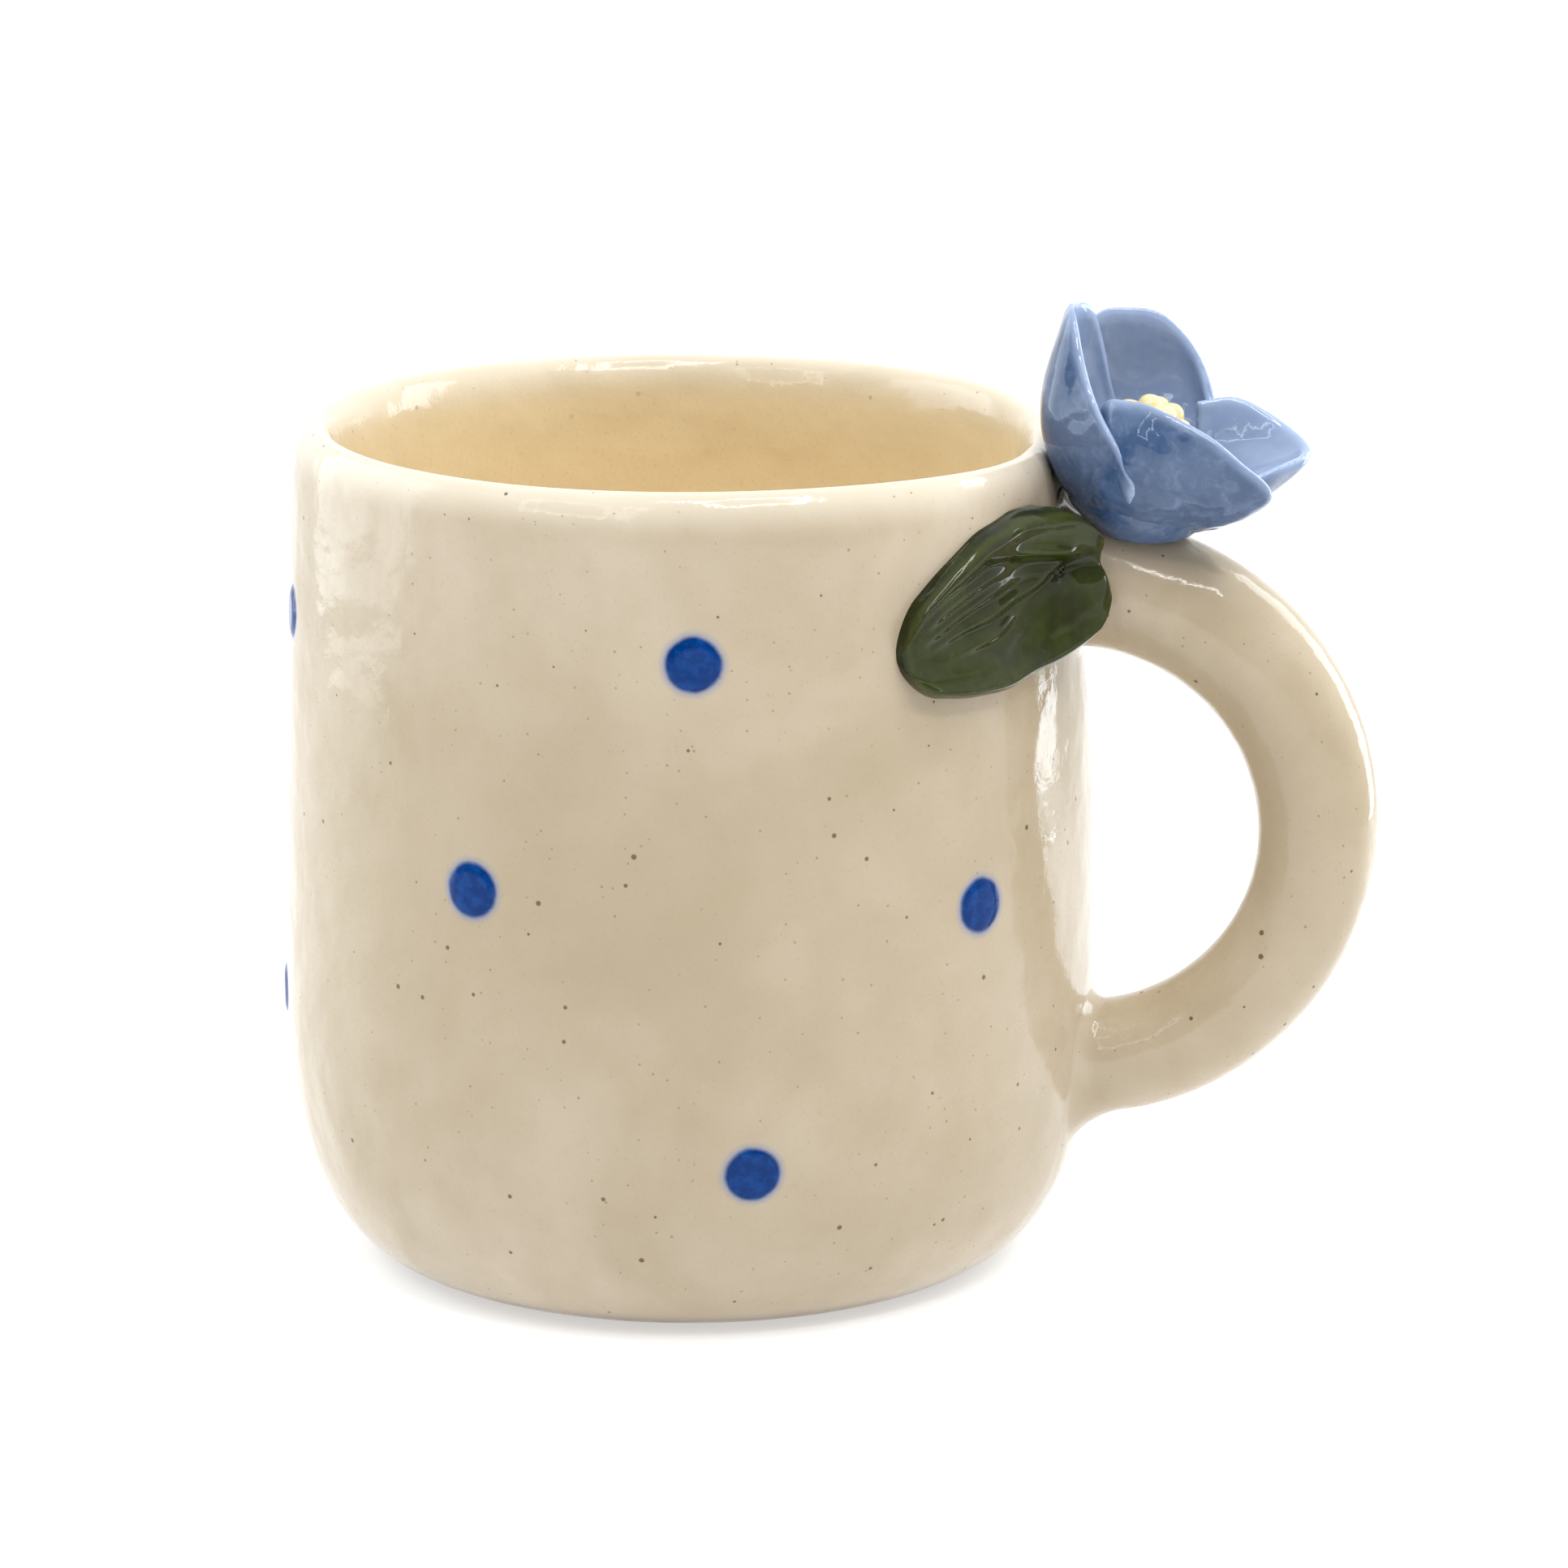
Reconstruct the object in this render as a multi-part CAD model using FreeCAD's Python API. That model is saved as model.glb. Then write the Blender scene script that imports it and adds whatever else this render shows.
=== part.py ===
import FreeCAD, Part
import math
import os

# Stoneware mug with a flower and two leaves where the handle leaves the rim.
# Origin at the centre of the foot, +Z up, +X towards the handle. Millimetres.

# Cup: thrown in one piece, foot and wall together
CUP_HEIGHT = 91.4
FOOT_RADIUS = 30.0
BELLY_RADIUS = 44.0
BELLY_Z = 28.4
SHOULDER_RADIUS = 42.7
SHOULDER_Z = 84.0
WALL = 4.4
FLOOR = 6.0
CORNER_PULL_FOOT = 0.46  # how far the corner curve leaves the foot straight
CORNER_PULL_WALL = 0.76  # how far it arrives straight at the wall
WALL_BEND = 1.3  # power that follows the wall's slight curve from belly to shoulder
SHOULDER_PULL = 0.25  # the wall's curve stands out this far on its way to the shoulder

# Lip: its crest, and where the curves that round it off are pulled
LIP_SET_IN = 0.6
LIP_CENTRE_RADIUS = SHOULDER_RADIUS - LIP_SET_IN - WALL / 2
LIP_OUTER_DROP = 2.2
LIP_OUTER_REACH = 1.6
LIP_INNER_DROP = 2.4
LIP_INNER_REACH = 1.3
LIP_LEAN = 0.15

# Handle: a rolled coil bent to a half circle
HANDLE_CENTRE_X = 42.6
HANDLE_CENTRE_Z = 49.6
HANDLE_ARC_RADIUS = 25.9
HANDLE_TOP_RADIUS = 7.15
HANDLE_LOW_RADIUS = 6.15
HANDLE_TAPER_END = 0.75  # share of the length over which the coil thins
HANDLE_FLARE_START = 0.84
HANDLE_LOW_FLARE = 1.3  # extra radius where the lower end is pressed onto the wall
HANDLE_BURY = 3.0  # how far an end runs into the wall before it is trimmed
HANDLE_STATIONS = 14
HANDLE_POINTS_ROUND = 16

# Raised dots of blue slip: angle about the cup's axis from +X, and height
DOT_RADIUS = 2.9
DOT_RELIEF = 0.35
DOT_PLACES = (
    (-158, 72.5), (-78, 74), (73, 73), (131, 75),
    (-109, 49), (-35, 46), (36, 48), (104, 46), (175, 50),
    (-163, 29), (-70, 20), (20, 21), (88, 23), (142, 20),
)

# Flower: four petals on a seat that stands on the top of the handle
FLOWER = FreeCAD.Vector(49.8, -1.0, 81.4)
SEAT_RADIUS = 4.6
SEAT_RIM_RADIUS = 8.6
SEAT_HEIGHT = 5.5
SEAT_HOLLOW = 1.6
SEAT_BURY = 0.7
CENTRE_RADIUS = 3.6
CENTRE_HEIGHT = 10.5
CENTRE_BURY = 0.4
CENTRE_SHOULDER = 0.75  # share of the height where the dome starts to close
CENTRE_NARROW = 0.6
STAMEN_RADIUS = 1.4
STAMEN_COUNT = 6
STAMEN_INSET = 0.6
STAMEN_RISE = 0.72  # share of the centre's height
PETAL_THICKNESS = 1.7
PETAL_ROOT_REACH = 3.6
PETAL_ROOT_RISE = 1.2
# Rim of each petal round the flower's axis: azimuth, reach and rise above the seat
PETAL_RIMS = {
    "petal_back": (
        (50, 8.0, 6.5), (61, 10.6, 12.6), (75, 11.4, 18.0), (92, 10.9, 21.2),
        (112, 10.8, 22.2), (130, 11.0, 21.6), (147, 10.8, 17.5), (160, 8.6, 9.5),
    ),
    "petal_right": (
        (-22, 8.0, 3.6), (-10, 12.6, 6.0), (2, 15.2, 6.8), (12, 16.8, 8.0),
        (24, 16.4, 9.9), (36, 14.4, 11.8), (49, 11.6, 13.0), (64, 8.2, 9.4),
    ),
    "petal_left": (
        (118, 9.6, 9.5), (127, 10.2, 18.0), (139, 9.9, 22.4), (158, 9.2, 24.0), (181, 8.4, 24.8),
        (201, 8.0, 24.0), (220, 8.1, 18.6), (238, 8.8, 15.2), (256, 9.5, 11.4), (269, 9.4, 6.0),
    ),
    "petal_front": (
        (-130, 6.6, 9.5), (-114, 7.6, 14.8), (-93, 8.6, 15.8), (-72, 10.6, 15.0),
        (-55, 13.6, 12.6), (-43, 16.0, 10.0), (-33, 17.2, 7.4), (-20, 12.0, 4.8),
    ),
}
# A petal's belly stands out this far, and more with the rim's reach and rise
PETAL_BULGES = {"petal_back": 3.6, "petal_right": 1.8, "petal_left": 3.2, "petal_front": 3.6}
PETAL_BULGE_PER_REACH = 0.35
PETAL_BULGE_PER_RISE = 0.42
PETAL_BELLY_RISE = 0.34

# Leaves: one on each side of the handle, pressed onto the wall
LEAF_ROOT_ARC = 7.6  # distances round the wall from the handle's plane
LEAF_TIP_ARC = 36.8
LEAF_ROOT_Z = 80.4
LEAF_TIP_Z = 72.8
LEAF_BOW = 1.2  # the midline bows up between root and tip
LEAF_HALF_WIDTH = 9.3
LEAF_THICKNESS = 2.0
LEAF_ROOT_LIFT = 4.2  # the root climbs off the wall onto the side of the handle
LEAF_LIFT_ARC = 13.0
LEAF_SINK = 0.4  # how far the leaf's back would lie inside the wall before it is trimmed
LEAF_CROWN = 1.5
LEAF_STATIONS = (0.0, 0.06, 0.2, 0.35, 0.5, 0.65, 0.8, 0.92, 1.0)


def vector(x, y, z):
    return FreeCAD.Vector(x, y, z)


def smooth_step(t):
    t = min(max(t, 0.0), 1.0)
    return t * t * (3 - 2 * t)


def bezier_edge(poles):
    curve = Part.BezierCurve()
    curve.setPoles(poles)
    return curve.toShape()


def outer_edges(grow):
    """Foot, corner, wall and shoulder of the outside, moved out by grow."""
    foot = FOOT_RADIUS
    belly = BELLY_RADIUS + grow
    shoulder = SHOULDER_RADIUS + grow
    corner = bezier_edge([
        vector(foot, 0, -grow),
        vector(foot + (belly - foot) * CORNER_PULL_FOOT, 0, -grow),
        vector(belly, 0, BELLY_Z * (1 - CORNER_PULL_WALL)),
        vector(belly, 0, BELLY_Z),
    ])
    rise = SHOULDER_Z - BELLY_Z
    wall = bezier_edge([
        vector(belly, 0, BELLY_Z),
        vector(belly, 0, BELLY_Z + rise / 3),
        vector(shoulder + SHOULDER_PULL, 0, SHOULDER_Z - rise / 3),
        vector(shoulder, 0, SHOULDER_Z),
    ])
    foot_edge = Part.makeLine(vector(0, 0, -grow), vector(foot, 0, -grow))
    return [foot_edge, corner, wall]


def turn(edges):
    """Solid of revolution about the cup's axis from a closed outline."""
    face = Part.Face(Part.Wire(edges))
    return face.revolve(vector(0, 0, 0), vector(0, 0, 1), 360)


def filled_cup(grow):
    """The cup's outside as a full solid, used to trim what sits on it."""
    shoulder = SHOULDER_RADIUS + grow
    top_radius = LIP_CENTRE_RADIUS
    lip = bezier_edge([
        vector(shoulder, 0, SHOULDER_Z),
        vector(shoulder - LIP_LEAN, 0, CUP_HEIGHT - LIP_OUTER_DROP + grow),
        vector(top_radius + LIP_OUTER_REACH, 0, CUP_HEIGHT + grow),
        vector(top_radius, 0, CUP_HEIGHT + grow),
    ])
    top = Part.makeLine(vector(top_radius, 0, CUP_HEIGHT + grow), vector(0, 0, CUP_HEIGHT + grow))
    axis = Part.makeLine(vector(0, 0, CUP_HEIGHT + grow), vector(0, 0, -grow))
    return turn(outer_edges(grow) + [lip, top, axis])


def cup_inside():
    """The space inside the cup, from the floor up past the lip."""
    foot = FOOT_RADIUS - WALL
    belly = BELLY_RADIUS - WALL
    shoulder = SHOULDER_RADIUS - WALL
    top_radius = LIP_CENTRE_RADIUS
    belly_rise = BELLY_Z - FLOOR
    floor = Part.makeLine(vector(0, 0, FLOOR), vector(foot, 0, FLOOR))
    corner = bezier_edge([
        vector(foot, 0, FLOOR),
        vector(foot + (belly - foot) * CORNER_PULL_FOOT, 0, FLOOR),
        vector(belly, 0, FLOOR + belly_rise * (1 - CORNER_PULL_WALL)),
        vector(belly, 0, BELLY_Z),
    ])
    wall = Part.makeLine(vector(belly, 0, BELLY_Z), vector(shoulder, 0, SHOULDER_Z))
    lip = bezier_edge([
        vector(shoulder, 0, SHOULDER_Z),
        vector(shoulder - LIP_LEAN, 0, CUP_HEIGHT - LIP_INNER_DROP),
        vector(top_radius - LIP_INNER_REACH, 0, CUP_HEIGHT),
        vector(top_radius, 0, CUP_HEIGHT),
    ])
    above = CUP_HEIGHT + 1
    side = Part.makeLine(vector(top_radius, 0, CUP_HEIGHT), vector(top_radius, 0, above))
    top = Part.makeLine(vector(top_radius, 0, above), vector(0, 0, above))
    axis = Part.makeLine(vector(0, 0, above), vector(0, 0, FLOOR))
    return turn([floor, corner, wall, lip, side, top, axis])


def cup_body():
    return filled_cup(0).cut(cup_inside())


def wall_radius(z):
    """Radius of the cup's outside at a height in the straight part of the wall."""
    t = (z - BELLY_Z) / (SHOULDER_Z - BELLY_Z)
    return BELLY_RADIUS + (SHOULDER_RADIUS - BELLY_RADIUS) * min(max(t, 0), 1) ** WALL_BEND


def skin_solid(sections):
    """Smooth closed solid over a row of plane cross-sections, each a closed ring of points."""
    surface = Part.BSplineSurface()
    surface.interpolate([ring + [ring[0]] for ring in sections])
    first, last, _, _ = surface.bounds()
    caps = [Part.Face(Part.Wire(surface.uIso(u).toShape())) for u in (first, last)]
    shell = Part.makeShell([surface.toShape()] + caps)
    shell.sewShape()
    solid = Part.makeSolid(shell)
    if solid.Volume < 0:
        solid.reverse()
    return solid


def handle_radius(t):
    """Radius of the coil from the upper end, t = 0, to the lower end, t = 1."""
    thinning = (HANDLE_LOW_RADIUS - HANDLE_TOP_RADIUS) * smooth_step(t / HANDLE_TAPER_END)
    flare = HANDLE_LOW_FLARE * smooth_step((t - HANDLE_FLARE_START) / (1 - HANDLE_FLARE_START))
    return HANDLE_TOP_RADIUS + thinning + flare


def handle_ring(centre, out, radius):
    """Points round the coil at a place, in the plane of out and the Y axis."""
    ring = []
    for i in range(HANDLE_POINTS_ROUND):
        turn_angle = 2 * math.pi * i / HANDLE_POINTS_ROUND
        ring.append(centre + out * (radius * math.cos(turn_angle))
                    + vector(0, radius * math.sin(turn_angle), 0))
    return ring


def handle():
    centre = vector(HANDLE_CENTRE_X, 0, HANDLE_CENTRE_Z)
    top = centre + vector(-HANDLE_BURY, 0, HANDLE_ARC_RADIUS)
    low = centre + vector(-HANDLE_BURY, 0, -HANDLE_ARC_RADIUS)
    rings = [handle_ring(top, vector(0, 0, 1), handle_radius(0))]
    for i in range(HANDLE_STATIONS + 1):
        t = i / HANDLE_STATIONS
        angle = math.pi * (0.5 - t)
        out = vector(math.cos(angle), 0, math.sin(angle))
        rings.append(handle_ring(centre + out * HANDLE_ARC_RADIUS, out, handle_radius(t)))
    rings.append(handle_ring(low, vector(0, 0, -1), handle_radius(1)))
    return skin_solid(rings)


def glaze_dots(cup):
    """Thin round pads of slip, one solid for each place, that follow the wall."""
    skin = filled_cup(DOT_RELIEF).cut(cup)
    dots = []
    for angle_deg, z in DOT_PLACES:
        angle = math.radians(angle_deg)
        out = vector(math.cos(angle), math.sin(angle), 0)
        start = out * (BELLY_RADIUS / 2) + vector(0, 0, z)
        punch = Part.makeCylinder(DOT_RADIUS, BELLY_RADIUS, start, out)
        dots.append(skin.common(punch).Solids[0])
    return Part.makeCompound(dots)


def flower_seat():
    side = bezier_edge([
        vector(SEAT_RADIUS, 0, -SEAT_BURY),
        vector(SEAT_RADIUS, 0, SEAT_BURY),
        vector(SEAT_RIM_RADIUS, 0, SEAT_HEIGHT / 3),
        vector(SEAT_RIM_RADIUS, 0, SEAT_HEIGHT),
    ])
    bowl = bezier_edge([
        vector(SEAT_RIM_RADIUS, 0, SEAT_HEIGHT),
        vector(SEAT_RIM_RADIUS / 2, 0, SEAT_HEIGHT - SEAT_HOLLOW),
        vector(0, 0, SEAT_HEIGHT - SEAT_HOLLOW),
    ])
    axis = Part.makeLine(vector(0, 0, SEAT_HEIGHT - SEAT_HOLLOW), vector(0, 0, -SEAT_BURY))
    under = Part.makeLine(vector(0, 0, -SEAT_BURY), vector(SEAT_RADIUS, 0, -SEAT_BURY))
    seat = turn([under, side, bowl, axis])
    seat.translate(FLOWER)
    return seat


def patch(rows):
    """Smooth surface over rows of three poles: cubic along the rows, a parabola up each."""
    last = len(rows) - 3
    surface = Part.BSplineSurface()
    surface.buildFromPolesMultsKnots(
        rows, [4] + [1] * (last - 1) + [4], [3, 3], list(range(last + 1)), [0, 1], False, False, 3, 2)
    return surface


def thick_patch(outer_rows, inner_rows):
    """Closed solid between two smooth patches."""
    outer = patch(outer_rows)
    inner = patch(inner_rows)
    u_first, u_last, v_first, v_last = outer.bounds()
    faces = [outer.toShape(), inner.toShape()]
    for u in (u_first, u_last):
        faces.append(Part.makeRuledSurface(outer.uIso(u).toShape(), inner.uIso(u).toShape()))
    for v in (v_first, v_last):
        faces.append(Part.makeRuledSurface(outer.vIso(v).toShape(), inner.vIso(v).toShape()))
    shell = Part.makeShell(faces)
    shell.sewShape()
    return Part.ShapeFix.Solid().solidFromShell(Part.Shell(shell.Faces))


def offset_row(poles, start_normal, end_normal, half):
    """Three poles moved off their curve by half, square to it."""
    middle_normal = (start_normal + end_normal).normalize()
    normals = (start_normal, middle_normal, end_normal)
    return [pole + normal * half for pole, normal in zip(poles, normals)]


def petal_rows(rim, bulge, side):
    """Rows of poles up one face of a petal, one row for each rim station."""
    rows = []
    up = vector(0, 0, 1)
    for azimuth_deg, reach, rise in rim:
        belly_reach = bulge + PETAL_BULGE_PER_REACH * reach + PETAL_BULGE_PER_RISE * rise
        angle = math.radians(azimuth_deg)
        out = vector(math.cos(angle), math.sin(angle), 0)
        root = FLOWER + out * PETAL_ROOT_REACH + up * PETAL_ROOT_RISE
        belly = FLOWER + out * belly_reach + up * (PETAL_BELLY_RISE * rise)
        tip = FLOWER + out * reach + up * rise
        level = vector(-out.y, out.x, 0)
        start_normal = level.cross(belly - root).normalize()
        end_normal = level.cross(tip - belly).normalize()
        rows.append(offset_row((root, belly, tip), start_normal, end_normal, side * PETAL_THICKNESS / 2))
    return rows


def petal(rim, bulge):
    return thick_patch(petal_rows(rim, bulge, 1), petal_rows(rim, bulge, -1))


def flower_centre():
    """Pollen dome with a ring of stamen heads, one lump of clay."""
    base_z = SEAT_HEIGHT - SEAT_HOLLOW - CENTRE_BURY
    dome = bezier_edge([
        vector(CENTRE_RADIUS, 0, 0),
        vector(CENTRE_RADIUS, 0, CENTRE_HEIGHT * CENTRE_SHOULDER),
        vector(CENTRE_RADIUS * CENTRE_NARROW, 0, CENTRE_HEIGHT),
        vector(0, 0, CENTRE_HEIGHT),
    ])
    axis = Part.makeLine(vector(0, 0, CENTRE_HEIGHT), vector(0, 0, 0))
    under = Part.makeLine(vector(0, 0, 0), vector(CENTRE_RADIUS, 0, 0))
    lump = turn([under, dome, axis])
    for i in range(STAMEN_COUNT):
        angle = 2 * math.pi * i / STAMEN_COUNT
        reach = CENTRE_RADIUS - STAMEN_INSET
        place = vector(reach * math.cos(angle), reach * math.sin(angle), CENTRE_HEIGHT * STAMEN_RISE)
        lump = lump.fuse(Part.makeSphere(STAMEN_RADIUS, place))
    lump.translate(FLOWER + vector(0, 0, base_z))
    return lump


def leaf_outline(u):
    """Half width along a leaf as a share of the widest: round root, blunt point."""
    return math.sin(math.pi * (0.08 + 0.87 * u)) ** 0.75


def leaf_place(u):
    """Point on the leaf's midline, which climbs off the wall towards its root."""
    arc = LEAF_ROOT_ARC + (LEAF_TIP_ARC - LEAF_ROOT_ARC) * u
    z = LEAF_ROOT_Z + (LEAF_TIP_Z - LEAF_ROOT_Z) * u + LEAF_BOW * 4 * u * (1 - u)
    lift = LEAF_ROOT_LIFT * (1 - smooth_step((arc - LEAF_ROOT_ARC) / LEAF_LIFT_ARC))
    radius = wall_radius(z) + LEAF_THICKNESS / 2 - LEAF_SINK + lift
    angle = -arc / BELLY_RADIUS
    return vector(radius * math.cos(angle), radius * math.sin(angle), z)


def leaf_rows(side):
    """Rows of poles across one face of the leaf, square to its midline."""
    step = 0.01
    rows = []
    for u in LEAF_STATIONS:
        place = leaf_place(u)
        along = (leaf_place(u + step) - leaf_place(u - step)).normalize()
        outward = vector(place.x, place.y, 0)
        outward = (outward - along * outward.dot(along)).normalize()
        across = along.cross(outward) * (LEAF_HALF_WIDTH * leaf_outline(u))
        poles = (place - across, place + outward * LEAF_CROWN, place + across)
        rows.append([pole + outward * (side * LEAF_THICKNESS / 2) for pole in poles])
    return rows


def leaf_front():
    return thick_patch(leaf_rows(1), leaf_rows(-1))


def mirrored(shape):
    return shape.mirror(vector(0, 0, 0), vector(0, 1, 0))


def main_solid(shape):
    return max(shape.Solids, key=lambda solid: solid.Volume)


def trimmed(shape, neighbours):
    """What is left of a shape once the neighbours that it meets are cut away."""
    for neighbour in neighbours:
        shape = main_solid(shape.cut(neighbour))
    return shape


def build():
    cup = filled_cup(0)
    parts = {"cup_body": cup_body()}
    parts["handle"] = trimmed(handle(), [cup])
    seat = trimmed(flower_seat(), [parts["handle"], cup])
    parts["flower_seat"] = seat
    parts["flower_centre"] = trimmed(flower_centre(), [seat])
    placed = [seat, parts["flower_centre"], cup, parts["handle"]]
    for name, rim in PETAL_RIMS.items():
        parts[name] = trimmed(petal(rim, PETAL_BULGES[name]), placed)
        placed.append(parts[name])
    leaf = leaf_front()
    parts["leaf_front"] = trimmed(leaf, placed)
    parts["leaf_back"] = trimmed(mirrored(leaf), placed)
    parts["glaze_dots"] = glaze_dots(cup)
    return parts


os.makedirs("parts", exist_ok=True)
for node, shape in build().items():
    shape.exportStep("parts/" + node + ".step")
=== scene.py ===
import math

import bmesh
import bpy
import numpy as np
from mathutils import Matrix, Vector


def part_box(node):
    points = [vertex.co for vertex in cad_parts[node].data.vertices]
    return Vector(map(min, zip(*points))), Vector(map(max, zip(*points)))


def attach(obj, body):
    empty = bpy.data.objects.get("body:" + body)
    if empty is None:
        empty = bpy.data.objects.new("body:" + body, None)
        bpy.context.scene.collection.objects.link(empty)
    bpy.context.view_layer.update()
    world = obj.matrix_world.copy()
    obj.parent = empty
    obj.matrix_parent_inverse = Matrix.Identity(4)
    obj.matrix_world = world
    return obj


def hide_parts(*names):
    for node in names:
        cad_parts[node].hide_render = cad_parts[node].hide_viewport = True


# A glazed stoneware mug with a flower and two leaves at the top of its handle.
# Shapes are worked out in millimetres and scaled to metres when a mesh is made.
# The cup's axis is upright, and angles round it start at the handle.

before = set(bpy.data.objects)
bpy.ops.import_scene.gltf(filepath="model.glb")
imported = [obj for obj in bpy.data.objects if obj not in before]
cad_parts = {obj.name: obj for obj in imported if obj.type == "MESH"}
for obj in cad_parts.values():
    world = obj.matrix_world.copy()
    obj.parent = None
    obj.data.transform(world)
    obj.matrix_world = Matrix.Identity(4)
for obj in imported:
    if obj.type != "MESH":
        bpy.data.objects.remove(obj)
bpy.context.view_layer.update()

MM = 0.001
cup_high = np.array(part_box("cup_body")[1]) / MM
handle_low, handle_high = (np.array(corner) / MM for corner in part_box("handle"))

# Cup
CUP_HEIGHT = cup_high[2]
BELLY_RADIUS = cup_high[1]
BELLY_Z = 28.4
FOOT_RADIUS = 30.0
SHOULDER_RADIUS = BELLY_RADIUS - 1.3
SHOULDER_Z = CUP_HEIGHT - 7.4
SHOULDER_PULL = 0.25  # the wall's curve stands out this far on its way to the shoulder
WALL = 4.4
FLOOR = 6.0
HUB_RADIUS = 2.0  # a fan closes the foot and the floor inside this radius
CORNER_PULL_FOOT = 0.46  # how far the corner curve leaves the foot straight
CORNER_PULL_WALL = 0.76  # how far it arrives straight at the wall
CUP_POINTS_ROUND = 288

# Lip: its crest, and where the curves that round it off are pulled
LIP_SWELL = 0.7
LIP_CENTRE_RADIUS = SHOULDER_RADIUS - 2.8
LIP_OUTER_DROP = 2.2
LIP_OUTER_REACH = 1.6
LIP_OUTER_LEAN = 0.1
LIP_INNER_DROP = 2.4
LIP_INNER_REACH = 1.3
LIP_INNER_LEAN = 0.2

# Hand work: the rim leans in and sags where the handle and the flower were pressed on
LEAN_IN = 2.4
LEAN_FROM_Z = 55.0
LEAN_WIDTH = 0.55  # radians round the cup
SAG = 1.7
SAG_FROM_Z = 66.0
SAG_SPAN = 25.0
SAG_WIDTH = 0.66
RIM_WAVE = 0.18
RIM_WAVE_FROM_Z = 70.0
RIM_WAVE_SPAN = 21.0
RIM_WAVE_PHASE = 1.9
TRUE_FOOT = 12.0  # the wall gets out of round over this height
# Out of round: how far, number of bulges, their phase, and the height that shifts it by a radian
OUT_OF_ROUND = ((0.16, 2, 0.7, 40.0), (0.1, 3, 0.0, -25.0))

# Handle: a coil bent to a half circle, with its ends smeared onto the wall
HANDLE_CENTRE = np.array([42.6, 0.0, (handle_low[2] + handle_high[2]) / 2 + 0.1])
HANDLE_ARC_RADIUS = 25.9
HANDLE_LENGTH = math.pi * HANDLE_ARC_RADIUS
HANDLE_TOP_RADIUS = 7.15
HANDLE_LOW_RADIUS = 6.15
HANDLE_TAPER_END = 0.75  # share of the length over which the coil thins
HANDLE_DROOP = 0.8  # how far the lower end has slid down
HANDLE_DROOP_START = 0.55
HANDLE_HOLD = 14.0  # length over which an end is drawn to the wall
COIL_LENGTH = HANDLE_LENGTH - 1.7
COIL_WAVER = 0.012
COIL_STEPS = 92
COIL_POINTS_ROUND = 72
FILLET_TOP = 1.8
FILLET_TOP_OUTSIDE = 0.4
FILLET_LOW = 2.3
FILLET_LOW_OUTSIDE = 1.5
FILLET_LOW_INSIDE = 0.5
FILLET_SKIRT = 1.25  # the last ring's flare as a share of the fillet's radius
FILLET_SINK = 0.025  # how far that ring lies inside the wall
FILLET_STEPS = 16

# Raised slip dots: angle about the cup's axis from +X in degrees, and height
DOT_RADIUS = 2.9
DOT_RELIEF = 0.28
DOT_FLAT = 0.55  # share of the mesh's radius that is level
DOT_SKIRT = 1.1  # radius of the mesh as a share of the dot's
DOT_SINK = 0.05  # how far the skirt's edge lies inside the wall
DOT_SINK_START = 0.85
DOT_OVAL = 0.02
DOT_LUMP = 0.01
DOT_PLACES = (
    (-159, 71.9), (-77.6, 74), (73, 73), (131, 75),
    (-109.4, 49), (-34.7, 45.8), (36, 48), (104, 46), (175, 50),
    (-165, 29), (-69.8, 20), (20, 21), (88, 23), (142, 20),
)

# Flower: rims of the petals round its axis as azimuth in degrees, reach and rise
FLOWER = np.array([49.8, -1.0, 81.4])
PETAL_RIMS = {
    "petal_back": (
        (50, 8.0, 6.5), (61, 10.6, 12.6), (75, 11.4, 18.0), (92, 10.9, 21.0),
        (112, 10.8, 22.0), (130, 11.0, 21.4), (147, 10.8, 17.5), (160, 8.6, 9.5),
    ),
    "petal_right": (
        (-22, 8.0, 4.4), (-10, 12.6, 6.8), (2, 15.3, 7.6), (12, 17.0, 8.2),
        (24, 16.5, 9.6), (36, 14.3, 11.3), (49, 11.6, 13.0), (64, 8.8, 12.6),
    ),
    "petal_left": (
        (118, 9.6, 9.5), (127, 10.2, 18.2), (139, 9.8, 22.6), (158, 9.0, 23.8), (181, 8.3, 23.9),
        (201, 8.1, 22.8), (221, 8.3, 18.2), (242, 9.2, 14.6), (258, 10.4, 11.2), (270, 11.1, 6.8),
    ),
    "petal_front": (
        (-146, 5.6, 11.0), (-120, 7.2, 14.9), (-94, 8.6, 15.4), (-72, 10.6, 14.6),
        (-55, 13.6, 12.2), (-43, 15.9, 9.4), (-33, 16.9, 6.6), (-20, 12.6, 3.8),
    ),
}
# A petal's belly stands out this far, and more with the rim's reach and rise
PETAL_BULGES = {"petal_back": 3.6, "petal_right": 1.6, "petal_left": 1.7, "petal_front": 3.6}
PETAL_BULGE_PER_REACH = 0.35
PETAL_BULGE_PER_RISE = 0.42
PETAL_BELLY_RISE = 0.34
PETAL_ROOT_REACH = 3.6
PETAL_ROOT_RISE = 1.2
PETAL_THICKNESS = 1.7
PETAL_ROOT_SWELL = 2.4  # extra thickness inside, towards the root
PETAL_ROOT_SWELL_END = 0.85
PETAL_TUCK = 1.8  # how far the first side of a petal is tucked under its neighbour
PETAL_TUCK_END = 0.24
PETAL_DENT = 0.3
PETAL_GRAIN = 0.08
PETAL_RIM_WAVER = 0.012
PETAL_EDGE_RADIUS = 0.9
PETAL_EDGE_BAND = 1.5  # width of the pale band along the edge
PETAL_ROOT_TO_RIM = 16.0  # rough distances over a petal, for the width of its edge
PETAL_HALF_WIDTH = 11.0
PETAL_COLUMNS = 81
PETAL_ROWS = 45
PETAL_ROWS_CROWD = 1.35  # power that crowds the rows towards the rim
WELD_GAP = 0.02

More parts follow.
